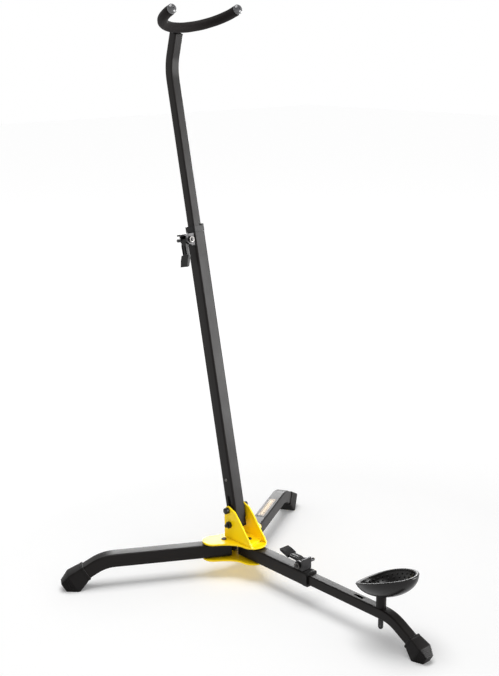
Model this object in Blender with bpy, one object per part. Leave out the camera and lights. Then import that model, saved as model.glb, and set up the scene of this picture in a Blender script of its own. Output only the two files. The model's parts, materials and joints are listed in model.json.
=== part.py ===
"""Folding floor stand for a large woodwind: three legs, a leaning mast, a yoke and a cup.

Frame: +Z up, the front leg points along -Y, the stand is symmetric about X = 0 apart from its clamps.
Every moving piece hangs on an empty that lies on the axis it turns or slides on.
"""

import math

import bmesh
import bpy
from mathutils import Matrix, Vector

mm = 0.001

# ---- tubes
TUBE = 22 * mm            # outer tubes and rear legs, square
TUBE_WALL = 1.5 * mm
TUBE_CORNER = 3 * mm
INNER = 16 * mm           # the two sliding tubes
INNER_WALL = 1.4 * mm
INNER_CORNER = 2.2 * mm
GAP = 0.3 * mm            # between pieces that touch

# ---- hub
CENTRE_Y = 115.97 * mm    # hub centre, seen from the middle of the stand's outline
LEG_Z = 45 * mm           # height of the leg tubes' centre lines
PLATE = 2.8 * mm
PLATE_GAP = 1.4 * mm
WASHER = 0.8 * mm         # the leg washers
PIVOT_RADIUS = 29.5 * mm  # leg pivots from the hub centre
LEG_SPREAD = 60           # degrees from +Y to each rear leg
RIVET_SHANK = 3.0 * mm
STOP_SPACER_RADIUS = 6 * mm
STOP_SPACER_Y = 20.3 * mm
FRONT_RIVET_Y = -18 * mm
EAR_INSIDE = 14.2 * mm
EAR_THICK = 2.8 * mm
FLOOR_FRONT, FLOOR_BACK = -33 * mm, 23 * mm

# ---- rear legs and boots
LEG_START = 11 * mm       # tube behind its pivot
LEG_STRAIGHT = 178 * mm   # pivot to the bend
LEG_BEND_RADIUS = 65 * mm
LEG_BEND = 30             # degrees
LEG_TAIL = 34 * mm        # straight tube after the bend
LEG_BOOT_AT = 14.5 * mm   # bend end to the boot's mouth

# ---- front leg
FRONT_START = -3 * mm
FRONT_END = -151 * mm
CLAMP_FROM_END = 10.2 * mm
COLLAR = 9.5 * mm
FRONT_INNER_START = -98 * mm
FRONT_BEND_AT = -307 * mm
FRONT_BEND_RADIUS = 60 * mm
FRONT_TAIL = 43 * mm
FRONT_BOOT_AT = 26 * mm
POST_Y = -302 * mm
POST_RADIUS = 7.5 * mm
STUD_RADIUS = 4.0 * mm

# ---- cup
CUP_HALF = (37 * mm, 53 * mm, 27 * mm)   # half width, half length, depth below the rim
CUP_CENTRE = (-311.4 * mm, 102.2 * mm)         # Y, Z of the rim's centre
CUP_TILT = 20.5                            # degrees, front end up
CUP_WALL = 3.6 * mm

# ---- mast, measured from its pivot bolt along the mast
MAST_PIVOT = (14.1 * mm, 107.8 * mm)       # Y, Z from the hub centre and the floor
MAST_LEAN = 11.56                          # degrees back from upright
MAST_BOTTOM = -30 * mm
MAST_TOP = 451 * mm
STOP_BELOW = 23.5 * mm                     # stop bolts under the pivot bolt
SLOT = (-13.5 * mm, 23.5 * mm)
SLOT_HALF = 3.3 * mm
STOP_RIVET_AT = 49 * mm
BOLT = 3.0 * mm                            # radius of the hub's cross bolts
MAST_INNER_START = 322 * mm
MAST_BEND_AT = 690 * mm
MAST_BEND_RADIUS = 80 * mm
MAST_BEND = 27.5
MAST_TAIL = 32 * mm

# ---- yoke
YOKE_TIPS = (71.6 * mm, 888.5 * mm)        # Y, Z of the arm tips' line
YOKE_TILT = 22.5                             # degrees, arms up
YOKE_RADIUS = 64 * mm
YOKE_ARM = 1.5 * mm
YOKE_ROD = 4.5 * mm
SLEEVE_RADIUS = 7.8 * mm
YOKE_CAP = 5.5 * mm

# ---- clamps: p towards the tube's mouth, h away from its face, w across
CLAMP_H = 7.5 * mm                         # bolt axis above the tube's face
CLAMP_BOLT = 2.7 * mm
CHEEK_OUT = 9.0 * mm
CHEEK = 2.8 * mm

COLOURS = {
    "yellow_paint": ((0.93, 0.66, 0.02, 1), 0.35, 0.0),
    "black_powder_coat": ((0.028, 0.026, 0.026, 1), 0.42, 0.0),
    "black_rubber": ((0.022, 0.021, 0.021, 1), 0.7, 0.0),
    "black_plastic": ((0.03, 0.029, 0.03, 1), 0.5, 0.0),
    "black_foam": ((0.015, 0.013, 0.013, 1), 0.85, 0.0),
    "black_steel": ((0.05, 0.05, 0.052, 1), 0.38, 0.9),
    "bright_steel": ((0.55, 0.55, 0.56, 1), 0.3, 1.0),
    "cup_rubber": ((0.025, 0.024, 0.024, 1), 0.45, 0.0),
    "cap_plastic": ((0.06, 0.06, 0.06, 1), 0.2, 0.0),
    "label_print": ((0.12, 0.10, 0.08, 1), 0.5, 0.0),
}


# ------------------------------------------------------------------ tools
def clear_scene():
    for obj in list(bpy.data.objects):
        bpy.data.objects.remove(obj, do_unlink=True)


def material(name):
    found = bpy.data.materials.get(name)
    if found:
        return found
    colour, roughness, metallic = COLOURS[name]
    made = bpy.data.materials.new(name)
    made.use_nodes = True
    shader = made.node_tree.nodes["Principled BSDF"]
    shader.inputs["Base Color"].default_value = colour
    shader.inputs["Roughness"].default_value = roughness
    shader.inputs["Metallic"].default_value = metallic
    made.diffuse_color = colour
    return made


def pose(origin, x=(1, 0, 0), y=(0, 1, 0), z=(0, 0, 1)):
    """A matrix from an origin and three unit axes."""
    m = Matrix((x, y, z)).transposed().to_4x4()
    m.translation = Vector(origin)
    return m


def empty(name, parent=None, at=None):
    """An axis or a frame for the pieces that move together."""
    made = bpy.data.objects.new(name, None)
    bpy.context.scene.collection.objects.link(made)
    made.empty_display_size = 0.02
    made.parent = parent
    made.matrix_basis = at or Matrix()
    return made


def piece(name, bm, coat, parent, at=None, hidden=False):
    """Turns the mesh under construction into a named piece."""
    bm.normal_update()
    bmesh.ops.recalc_face_normals(bm, faces=bm.faces)
    mesh = bpy.data.meshes.new(name)
    bm.to_mesh(mesh)
    bm.free()
    made = bpy.data.objects.new(name, mesh)
    bpy.context.scene.collection.objects.link(made)
    made.parent = parent
    made.matrix_basis = at or Matrix()
    mesh.shade_smooth()
    mesh.set_sharp_from_angle(angle=math.radians(35))
    if hidden:
        made.hide_render = True
        made.display_type = "WIRE"
    else:
        mesh.materials.append(material(coat))
    return made


def cutter(bm, target, at=None, name="cut"):
    """Cuts a shape, given in the target's own frame, out of the target."""
    made = piece(target.name + "_" + name, bm, None, target.parent, target.matrix_basis @ (at or Matrix()), True)
    cut = target.modifiers.new(name, "BOOLEAN")
    cut.operation = "DIFFERENCE"
    cut.solver = "EXACT"
    cut.object = made
    return made


def join(bm, target, at=None, name="add"):
    """Joins a shape, given in the target's own frame, to the target."""
    made = piece(target.name + "_" + name, bm, None, target.parent, target.matrix_basis @ (at or Matrix()), True)
    add = target.modifiers.new(name, "BOOLEAN")
    add.operation = "UNION"
    add.solver = "EXACT"
    add.object = made
    return made


def soften(obj, width, segments=2, angle=40):
    bevel = obj.modifiers.new("edges", "BEVEL")
    bevel.width = width
    bevel.segments = segments
    bevel.limit_method = "ANGLE"
    bevel.angle_limit = math.radians(angle)
    return obj


def eased(bm, width, segments=1, angle=50):
    """Takes the sharp edges off a shape before it is joined to others."""
    bm.normal_update()
    sharp = [e for e in bm.edges if len(e.link_faces) == 2 and e.calc_face_angle() > math.radians(angle)]
    bmesh.ops.bevel(bm, geom=sharp, offset=width, offset_type="OFFSET", segments=segments, profile=0.5,
                    affect="EDGES", clamp_overlap=True, material=-1)
    return bm


def box(low, high, bm=None):
    bm = bm or bmesh.new()
    size = Vector(high) - Vector(low)
    middle = (Vector(high) + Vector(low)) / 2
    bmesh.ops.create_cube(bm, size=1, matrix=Matrix.Translation(middle) @ Matrix.Diagonal((*size, 1)))
    return bm


def turned(profile, steps=24, axis=(0, 0, 1)):
    """A closed outline of (radius, height) pairs spun round Z; an outline that touches the axis closes there."""
    bm = bmesh.new()
    verts = [bm.verts.new((r, 0, z)) for r, z in profile]
    solid = profile[0][0] == 0
    edges = [bm.edges.new(pair) for pair in zip(verts, verts[1:])]
    if not solid:
        edges.append(bm.edges.new((verts[-1], verts[0])))
    bmesh.ops.spin(bm, geom=verts + edges, cent=(0, 0, 0), axis=(0, 0, 1), angle=math.tau, steps=steps,
                   use_merge=True, use_duplicate=False)
    bmesh.ops.remove_doubles(bm, verts=bm.verts, dist=1e-6)
    bm.transform(Vector((0, 0, 1)).rotation_difference(Vector(axis)).to_matrix().to_4x4())
    return bm


def rod(radius, low, high, axis=(0, 0, 1), steps=24, bevel=0.0):
    """A round bar along an axis through the origin."""
    if not bevel:
        return turned([(0, low), (radius, low), (radius, high), (0, high)], steps, axis)
    return turned([(0, low), (radius - bevel, low), (radius, low + bevel),
                   (radius, high - bevel), (radius - bevel, high), (0, high)], steps, axis)


def ring(inside, outside, low, high, axis=(0, 0, 1), steps=24):
    return turned([(inside, low), (outside, low), (outside, high), (inside, high)], steps, axis)


def prism(outline, low, high):
    """An outline in the XY plane, extruded along Z."""
    bm = bmesh.new()
    face = bm.faces.new([bm.verts.new((x, y, low)) for x, y in outline])
    made = bmesh.ops.extrude_face_region(bm, geom=[face])["geom"]
    bmesh.ops.translate(bm, verts=[v for v in made if isinstance(v, bmesh.types.BMVert)], vec=(0, 0, high - low))
    return bm


def rounded_square(half_x, half_z, corner, steps=3):
    """Corner points of a square with rounded corners, as (x, z) pairs."""
    points = []
    for quarter, (sx, sz) in enumerate(((1, 1), (-1, 1), (-1, -1), (1, -1))):
        for i in range(steps + 1):
            a = math.radians(90 * quarter + 90 * i / steps)
            points.append((sx * (half_x - corner) + corner * math.cos(a),
                           sz * (half_z - corner) + corner * math.sin(a)))
    return points


def circle(radius, steps):
    return [(radius * math.cos(math.tau * i / steps), radius * math.sin(math.tau * i / steps)) for i in range(steps)]


def section(bm, outside, inside=None):
    """The flat end of a bar or a tube in the XZ plane, made of faces ready to be pulled along +Y."""
    rings = []
    for outline in filter(None, (outside, inside)):
        verts = [bm.verts.new((x, 0, z)) for x, z in outline]
        rings.append([bm.edges.new((a, b)) for a, b in zip(verts, verts[1:] + verts[:1])])
    if inside:
        return bmesh.ops.bridge_loops(bm, edges=rings[0] + rings[1])["faces"]
    return bmesh.ops.contextual_create(bm, geom=rings[0])["faces"]


def pulled(bm, faces):
    """Extrudes the end faces of a bar in place: the new end faces and the points to move."""
    edges = list(dict.fromkeys(e for f in faces for e in f.edges))
    geom = bmesh.ops.extrude_face_region(bm, geom=faces + edges)["geom"]
    return ([g for g in geom if isinstance(g, bmesh.types.BMFace)],
            [g for g in geom if isinstance(g, bmesh.types.BMVert)])


def run(outside, inside, path):
    """Pulls a section along straights and bends: ("go", length) or ("bend", radius, degrees up, steps)."""
    bm = bmesh.new()
    faces = section(bm, outside, inside)
    spot, heading = Vector((0, 0, 0)), 0.0
    for kind, size, *rest in path:
        if kind == "go":
            faces, verts = pulled(bm, faces)
            step = Vector((0, math.cos(heading), math.sin(heading))) * size
            bmesh.ops.translate(bm, verts=verts, vec=step)
            spot += step
            continue
        turn, steps = math.radians(rest[0]), rest[1]
        side = math.copysign(1, turn)
        middle = spot + side * size * Vector((0, -math.sin(heading), math.cos(heading)))
        for _ in range(steps):
            faces, verts = pulled(bm, faces)
            bmesh.ops.rotate(bm, verts=verts, cent=middle, matrix=Matrix.Rotation(turn / steps, 3, "X"))
        spot = middle + Matrix.Rotation(turn, 3, "X") @ (spot - middle)
        heading += turn
    return bm


def square_tube(size, wall, corner, path):
    return run(rounded_square(size / 2, size / 2, corner),
               rounded_square(size / 2 - wall, size / 2 - wall, max(corner - wall, 0.4 * mm)), path)


def lobed_outline(lobes, waist, steps=8):
    """Rounded lobes round the origin, joined by hollow curves: lobes are (degrees, reach, radius)."""
    arcs = []
    for angle, reach, radius in lobes:
        a = math.radians(angle)
        middle = Vector((math.cos(a), math.sin(a))) * (reach - radius)
        arcs.append([middle + radius * Vector((math.cos(a + t), math.sin(a + t)))
                     for t in (math.radians(-78 + 156 * i / steps) for i in range(steps + 1))])
    points = []
    for arc, after, lobe, lobe_after in zip(arcs, arcs[1:] + arcs[:1], lobes, lobes[1:] + lobes[:1]):
        points += arc
        middle_angle = math.radians((lobe[0] + lobe_after[0] + (360 if lobe_after[0] < lobe[0] else 0)) / 2)
        hollow = waist * Vector((math.cos(middle_angle), math.sin(middle_angle)))
        for i in range(1, 5):
            t = i / 5
            points.append((1 - t) ** 2 * arc[-1] + 2 * t * (1 - t) * hollow + t * t * after[0])
    return points


# ------------------------------------------------------------------ hub
def build_hub(root):
    top = LEG_Z + TUBE / 2 + PLATE_GAP
    bottom = LEG_Z - TUBE / 2 - PLATE_GAP
    floor = top + PLATE + GAP
    lobes = ((30, 65 * mm, 18 * mm), (150, 65 * mm, 18 * mm), (270, 49 * mm, 22 * mm))
    pivots = {side: (sign * PIVOT_RADIUS * math.sin(math.radians(LEG_SPREAD)),
                     PIVOT_RADIUS * math.cos(math.radians(LEG_SPREAD))) for side, sign in (("left", -1), ("right", 1))}
    holes = [(0, FRONT_RIVET_Y), (0, STOP_SPACER_Y), *pivots.values()]

    for name, low in (("top_plate", top), ("bottom_plate", bottom - PLATE)):
        plate = piece(name, prism(lobed_outline(lobes, 22 * mm), low, low + PLATE), "yellow_paint", root)
        soften(plate, 0.5 * mm, 1)
        for i, (x, y) in enumerate(holes):
            cutter(rod(RIVET_SHANK + GAP, low - 5 * mm, low + 8 * mm, steps=16), plate,
                   Matrix.Translation((x, y, 0)), f"hole_{i + 1}")

    build_bracket(root, floor)

    # rivets: a domed head above, a closed head below
    def rivet(name, spot, low, high, head, hollow):
        x, y = spot
        low -= GAP
        high += GAP
        outline = [(0, low - 1.6 * mm), (head * 0.8, low - 1.6 * mm), (head, low - 0.9 * mm), (head, low),
                   (RIVET_SHANK, low), (RIVET_SHANK, high), (head, high), (head, high + 0.6 * mm),
                   (head * 0.75, high + 1.5 * mm)]
        if hollow:
            outline += [(head * 0.45, high + 1.5 * mm), (head * 0.4, high - 4 * mm), (0, high - 4 * mm)]
        else:
            outline += [(head * 0.3, high + 1.9 * mm), (0, high + 1.9 * mm)]
        piece(name, turned(outline, 20), "black_steel" if hollow else "bright_steel", root, Matrix.Translation((x, y, 0)))

    low = bottom - PLATE
    rivet("front_hub_rivet", holes[0], low, floor + PLATE, 4.3 * mm, False)
    rivet("rear_hub_rivet", holes[1], low, floor + PLATE, 4.3 * mm, False)
    rivet("left_leg_pivot_rivet", pivots["left"], low, top + PLATE, 4.4 * mm, True)
    rivet("right_leg_pivot_rivet", pivots["right"], low, top + PLATE, 4.4 * mm, True)
    piece("leg_stop_spacer", ring(RIVET_SHANK + GAP, STOP_SPACER_RADIUS, bottom + GAP, top - GAP), "black_steel",
          root, Matrix.Translation((0, STOP_SPACER_Y, 0)))
    return pivots


def build_bracket(root, floor):
    """The folded channel that holds the mast: a floor and two ears."""
    outside = EAR_INSIDE + EAR_THICK
    inside = EAR_INSIDE + EAR_THICK / 2
    bracket = piece("mast_bracket", box((-inside, FLOOR_FRONT, floor), (inside, FLOOR_BACK - 0.5 * mm, floor + PLATE)),
                    "yellow_paint", root)
    y0, z0 = MAST_PIVOT
    head = [(y0 + 7 * mm * math.cos(math.radians(a)), z0 + 7 * mm * math.sin(math.radians(a)))
            for a in range(20, 131, 22)]
    ear = [(FLOOR_BACK, floor), (FLOOR_BACK, z0 - 6 * mm), *head,
           (y0 - 16 * mm, z0 + 1.5 * mm), (y0 - 26 * mm, z0 - 9 * mm), (y0 - 35 * mm, z0 - 20 * mm),
           (y0 - 44 * mm, z0 - 31 * mm), (y0 - 52 * mm, z0 - 39.5 * mm), (y0 - 57 * mm, floor)]
    for side, low in (("left", -outside), ("right", EAR_INSIDE)):
        join(eased(prism(ear, 0, EAR_THICK), 0.4 * mm), bracket, pose((low, 0, 0), (0, 1, 0), (0, 0, 1), (1, 0, 0)), side + "_ear")
    across = Vector((1, 0, 0))
    u, _ = mast_axes()
    for name, drop in (("pivot_hole", 0.0), ("stop_hole", STOP_BELOW)):
        spot = Vector((0, y0, z0)) - drop * u
        cutter(rod(BOLT + GAP, -30 * mm, 30 * mm, across, 20), bracket, Matrix.Translation(spot), name)
    for i, y in enumerate((FRONT_RIVET_Y, STOP_SPACER_Y)):
        cutter(rod(RIVET_SHANK + GAP, floor - 5 * mm, floor + 8 * mm, steps=20), bracket,
               Matrix.Translation((0, y, 0)), f"floor_hole_{i + 1}")


def mast_axes():
    """Unit vectors along the mast and out of its front face."""
    lean = math.radians(MAST_LEAN)
    return Vector((0, math.sin(lean), math.cos(lean))), Vector((0, -math.cos(lean), math.sin(lean)))


def hexagon(across_flats, low, high, hole):
    """A chamfered nut along Z."""
    bm = prism(circle(across_flats / math.sqrt(3), 6), low, high)
    return bm


def nut(name, across_flats, low, high, hole, root, at, coat="black_steel"):
    made = piece(name, hexagon(across_flats, low, high, hole), coat, root, at)
    cutter(rod(hole, low - 2 * mm, high + 2 * mm, steps=20), made, name="thread")
    soften(made, 0.35 * mm, 1, 50)
    return made


def build_cross_bolts(root):
    """The mast's pivot bolt, its washers, and a stop bolt in each ear."""
    u, _ = mast_axes()
    pivot = Vector((0, *MAST_PIVOT))
    outside = EAR_INSIDE + EAR_THICK
    across = pose(pivot, (0, 1, 0), (0, 0, 1), (1, 0, 0))
    r = 5.2 * mm
    head = outside + GAP
    piece("pivot_bolt", turned([(0, -head - 6.4 * mm), (r - 1.4 * mm, -head - 6.4 * mm), (r, -head - 5.2 * mm),
                                (r, -head), (BOLT, -head), (BOLT, head + 4 * mm), (0, head + 4 * mm)]),
          "black_steel", root, across)
    piece("pivot_cap_nut", turned([(BOLT + GAP / 2, head), (r, head), (r, head + 5.2 * mm),
                                   (r - 1.4 * mm, head + 6.4 * mm), (0.6 * mm, head + 6.4 * mm),
                                   (0.6 * mm, head + 4.4 * mm), (BOLT + GAP / 2, head + 4.4 * mm)]),
          "black_steel", root, across)
    for side, sign in (("left", -1), ("right", 1)):
        inner, outer = sorted((sign * (TUBE / 2 + GAP), sign * (EAR_INSIDE - GAP)))
        piece(side + "_pivot_washer", ring(BOLT + GAP, 6.5 * mm, inner, outer), "black_plastic", root, across)
        # the stop bolt's round head bears in the notch of the mast's side wall, its nut sits outside the ear
        spot = pivot - STOP_BELOW * u
        at = pose(spot, (0, 1, 0), (0, 0, sign), (sign, 0, 0))
        piece(side + "_stop_bolt", turned([(0, 8.4 * mm), (BOLT, 8.4 * mm), (BOLT, outside + 9 * mm),
                                           (BOLT - 0.8 * mm, outside + 9.8 * mm), (0, outside + 9.8 * mm)]),
              "black_steel", root, at)
        nut(side + "_stop_nut", 10 * mm, outside + GAP, outside + 5.4 * mm, BOLT + GAP / 2, root, at)


# ------------------------------------------------------------------ legs
def boot(name, half, scale, root, at, tube_half, ground):
    """A rubber boot: flared body, chamfered nose, flat sole; its mouth is at the origin, its nose along +Y."""
    bm = bmesh.new()
    stations = ((0, half, half, 0), (1.5 * mm, half + 0.5 * mm, half + 0.5 * mm, 0),
                (27 * mm * scale, 15 * mm * scale, 17 * mm * scale, -3.4 * mm * scale),
                (43 * mm * scale, 9.5 * mm * scale, 8.9 * mm * scale, -1.6 * mm * scale))
    loops = []
    for y, hx, hz, dz in stations:
        verts = [bm.verts.new((x, y, z + dz)) for x, z in rounded_square(hx, hz, 2.4 * mm * scale, 2)]
        loops.append(verts)
    for first, second in zip(loops, loops[1:]):
        for i in range(len(first)):
            j = (i + 1) % len(first)
            bm.faces.new((first[i], first[j], second[j], second[i]))
    bm.faces.new(loops[0])
    bm.faces.new(loops[-1])
    made = piece(name, bm, "black_rubber", root, at)
    pocket = prism([(x, z) for x, z in rounded_square(tube_half + GAP, tube_half + GAP, 2.5 * mm)], -40 * mm, 0)
    depth = 21 * mm * scale
    cutter(pocket, made, pose((0, depth, 0), (1, 0, 0), (0, 0, -1), (0, 1, 0)), "pocket")
    # the sole: everything below the floor is cut away
    level = made.matrix_basis.inverted() @ Matrix.Translation((0, 0, ground))
    cutter(box((-0.5, -0.5, -0.1), (0.5, 0.5, 0)), made, level, "sole")
    return made


def build_rear_leg(side, root, spot):
    """One rear leg on its pivot, pointing along its own +Y."""
    sign = -1 if side == "left" else 1
    a = math.radians(LEG_SPREAD) * sign
    out = Vector((math.sin(a), math.cos(a), 0))
    pivot = empty(side + "_leg_pivot", root, pose((*spot, LEG_Z), (out.y, -out.x, 0), out))
    tube = piece(side + "_leg_tube", square_tube(TUBE, TUBE_WALL, TUBE_CORNER, [
        ("go", LEG_START + LEG_STRAIGHT), ("bend", LEG_BEND_RADIUS, -LEG_BEND, 6), ("go", LEG_TAIL)]),
        "black_powder_coat", pivot, Matrix.Translation((0, -LEG_START, 0)))
    cutter(rod(RIVET_SHANK + GAP, -20 * mm, 20 * mm, steps=20), tube, Matrix.Translation((0, LEG_START, 0)), "hole")
    for name, low in (("upper", TUBE / 2 + GAP), ("lower", -TUBE / 2 - GAP - WASHER)):
        piece(f"{side}_leg_{name}_washer", ring(RIVET_SHANK + GAP, 6.5 * mm, low, low + WASHER, steps=16),
              "black_plastic", pivot)
    bend = math.radians(LEG_BEND)
    along = Vector((0, math.cos(bend), -math.sin(bend)))
    mouth = Vector((0, LEG_STRAIGHT + LEG_BEND_RADIUS * math.sin(bend), -LEG_BEND_RADIUS * (1 - math.cos(bend))))
    mouth += LEG_BOOT_AT * along
    at = pose(mouth, (1, 0, 0), along, (0, math.sin(bend), math.cos(bend)))
    boot(side + "_leg_boot", 12.4 * mm, 1.0, pivot, at, TUBE / 2, -LEG_Z)
    if side == "right":
        label = piece("right_leg_label", box((-7 * mm, 70 * mm, TUBE / 2 + 0.05 * mm),
                                             (7 * mm, 150 * mm, TUBE / 2 + 0.35 * mm)), "label_print", pivot)
        label.modifiers.clear()
    return pivot


def build_front_leg(root):
    """The fixed front tube and, sliding in it, the foot tube that carries the cup."""
    down = pose((0, FRONT_START, LEG_Z), (-1, 0, 0), (0, -1, 0), (0, 0, 1))
    length = FRONT_START - FRONT_END
    tube = piece("front_outer_tube", square_tube(TUBE, TUBE_WALL, TUBE_CORNER, [("go", length)]),
                 "black_powder_coat", root, down)
    cutter(rod(RIVET_SHANK + GAP, -20 * mm, 20 * mm, steps=20), tube,
           Matrix.Translation((0, FRONT_START - FRONT_RIVET_Y, 0)), "rivet_hole")
    clamp_y = length - CLAMP_FROM_END
    cutter(box((-5.6 * mm, clamp_y - 6.6 * mm, 6 * mm), (5.6 * mm, clamp_y + 6.6 * mm, 15 * mm)), tube,
           name="pad_window")
    end_sleeve("front_end_sleeve", root, down @ Matrix.Translation((0, length, 0)))
    clamp_at = pose((0, FRONT_END + CLAMP_FROM_END, LEG_Z + TUBE / 2 + CLAMP_H), (0, -1, 0), (0, 0, 1), (-1, 0, 0))
    build_clamp("front", root, clamp_at)

    slide = empty("front_leg_slide", root, Matrix.Translation((0, 0, LEG_Z)))
    straight = FRONT_INNER_START - FRONT_BEND_AT
    inner_at = pose((0, FRONT_INNER_START, 0), (-1, 0, 0), (0, -1, 0), (0, 0, 1))
    inner = piece("front_inner_tube", square_tube(INNER, INNER_WALL, INNER_CORNER, [
        ("go", straight), ("bend", FRONT_BEND_RADIUS, -LEG_BEND, 6), ("go", FRONT_TAIL)]),
        "black_powder_coat", slide, inner_at)
    cutter(rod(STUD_RADIUS + GAP, -15 * mm, 15 * mm, steps=20), inner,
           Matrix.Translation((0, FRONT_INNER_START - POST_Y, 0)), "stud_hole")
    # the small slot behind the post
    cutter(box((-2.5 * mm, FRONT_INNER_START + 250 * mm, 4 * mm), (2.5 * mm, FRONT_INNER_START + 268 * mm, 12 * mm)),
           inner, name="top_slot")
    bend = math.radians(LEG_BEND)
    along = Vector((0, -math.cos(bend), -math.sin(bend)))
    mouth = Vector((0, FRONT_BEND_AT - FRONT_BEND_RADIUS * math.sin(bend), -FRONT_BEND_RADIUS * (1 - math.cos(bend))))
    mouth += FRONT_BOOT_AT * along
    boot("front_boot", 10.4 * mm, 0.84, slide,
         pose(mouth, (-1, 0, 0), along, (0, -math.sin(bend), math.cos(bend))), INNER / 2, -LEG_Z)
    build_cup(slide)
    return slide


def build_cup(slide):
    """The post and stud that stand on the foot tube, and the cup that turns on the stud."""
    tilt = math.radians(CUP_TILT)
    at_post = Matrix.Translation((0, POST_Y, 0))
    half = INNER / 2
    post_top = 70.2 * mm - LEG_Z
    # the stud comes up through the foot tube and the post, and holds the cup with a low round head
    head_low = 79.2 * mm - LEG_Z
    piece("cup_post", ring(STUD_RADIUS + GAP, POST_RADIUS, half + GAP, post_top), "black_powder_coat", slide, at_post)
    stud = piece("cup_stud", turned([(0, -half - 19.5 * mm), (STUD_RADIUS - 2 * mm, -half - 18.9 * mm),
                                     (STUD_RADIUS - 0.4 * mm, -half - 17.2 * mm), (STUD_RADIUS, -half - 15.4 * mm),
                                     (STUD_RADIUS, head_low), (8 * mm, head_low), (8 * mm, head_low + 1.4 * mm),
                                     (6.4 * mm, head_low + 2.6 * mm), (0, head_low + 2.9 * mm)]),
                 "black_steel", slide, at_post)
    # its lower end is pressed flat into a tab with a cross hole
    for sign in (-1, 1):
        cutter(box((min(sign * 2 * mm, sign * 9 * mm), -9 * mm, -half - 24 * mm),
                   (max(sign * 2 * mm, sign * 9 * mm), 9 * mm, -half - 5 * mm)), stud, name="flat")
    cutter(rod(1.7 * mm, -9 * mm, 9 * mm, (1, 0, 0), 16), stud, Matrix.Translation((0, 0, -half - 14.8 * mm)),
           "cross_hole")

    turn = empty("cup_pivot", slide, at_post)
    hx, hy, hz = CUP_HALF
    bm = bmesh.new()
    bmesh.ops.create_uvsphere(bm, u_segments=36, v_segments=20, radius=1)
    bmesh.ops.scale(bm, vec=(hx, hy, hz), verts=bm.verts)
    # a gentle saddle: the rim's long sides stand a little higher than its ends
    for v in bm.verts:
        v.co.z += 3 * mm * (v.co.x / hx) ** 2
    centre = Vector((0, CUP_CENTRE[0] - POST_Y, CUP_CENTRE[1] - LEG_Z))
    along = Vector((0, -math.cos(tilt), math.sin(tilt)))
    up = Vector((0, math.sin(tilt), math.cos(tilt)))
    at = pose(centre, (-1, 0, 0), along, up)
    cup = piece("instrument_cup", bm, "cup_rubber", turn, at)
    hollow = bmesh.new()
    bmesh.ops.create_uvsphere(hollow, u_segments=36, v_segments=20, radius=1)
    bmesh.ops.scale(hollow, vec=(hx - CUP_WALL, hy - CUP_WALL, hz - CUP_WALL), verts=hollow.verts)
    for v in hollow.verts:
        v.co.z += 3 * mm * (v.co.x / hx) ** 2
    # a flat boss under the bowl and a flat seat inside it, both square to the stud
    level = at.inverted()
    boss_low = post_top + GAP
    join(rod(8.2 * mm, boss_low, boss_low + 4.4 * mm), cup, level, "boss")
    cutter(hollow, cup, name="bowl")
    # the open side: the upper half of the shell goes, down to the saddle-shaped rim
    lid = bmesh.new()
    bmesh.ops.create_grid(lid, x_segments=12, y_segments=2, size=1)
    bmesh.ops.scale(lid, vec=(hx * 1.3, hy * 1.3, 1), verts=lid.verts)
    top = bmesh.ops.extrude_face_region(lid, geom=lid.faces[:])["geom"]
    raised = [v for v in top if isinstance(v, bmesh.types.BMVert)]
    for v in lid.verts:
        v.co.z = 3 * mm * (v.co.x / hx) ** 2
    for v in raised:
        v.co.z = 60 * mm
    cutter(lid, cup, name="rim")
    seat = head_low - GAP
    join(rod(10 * mm, seat - 5.5 * mm, seat), cup, level, "seat")
    cutter(rod(STUD_RADIUS + GAP, -10 * mm, 60 * mm, steps=20), cup, level, "stud_hole")
    return turn


# ------------------------------------------------------------------ clamps and end sleeves
def end_sleeve(name, root, at):
    """The plastic liner at an outer tube's mouth: a collar outside, a skirt inside. The mouth is the origin."""
    bore = rounded_square(INNER / 2 + GAP, INNER / 2 + GAP, INNER_CORNER + 0.2 * mm)
    skirt = run(rounded_square(TUBE / 2 - TUBE_WALL - GAP, TUBE / 2 - TUBE_WALL - GAP, 1.6 * mm), bore,
                [("go", 30 * mm + GAP + COLLAR)])
    made = piece(name, skirt, "black_plastic", root, at @ Matrix.Translation((0, -30 * mm, 0)))
    collar = run(rounded_square(TUBE / 2 + 0.3 * mm, TUBE / 2 + 0.3 * mm, TUBE_CORNER),
                 rounded_square(INNER / 2 + 0.8 * mm, INNER / 2 + 0.8 * mm, INNER_CORNER),
                 [("go", COLLAR - 0.4 * mm)])
    join(collar, made, Matrix.Translation((0, 30 * mm + GAP, 0)), "collar")
    join(box((6 * mm, 30 * mm + COLLAR - 3 * mm, 8.9 * mm), (10 * mm, 32.6 * mm + COLLAR, 10.9 * mm)), made,
         name="nib")
    clamp = 30 * mm - CLAMP_FROM_END
    face = (2, 1) if name.startswith("front") else (0, -1)
    low, high = [-5.6 * mm] * 3, [5.6 * mm] * 3
    low[1], high[1] = clamp - 6.6 * mm, clamp + 6.6 * mm
    low[face[0]], high[face[0]] = sorted((face[1] * 6 * mm, face[1] * 15 * mm))
    cutter(box(low, high), made, name="pad_window")
    return made


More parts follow.
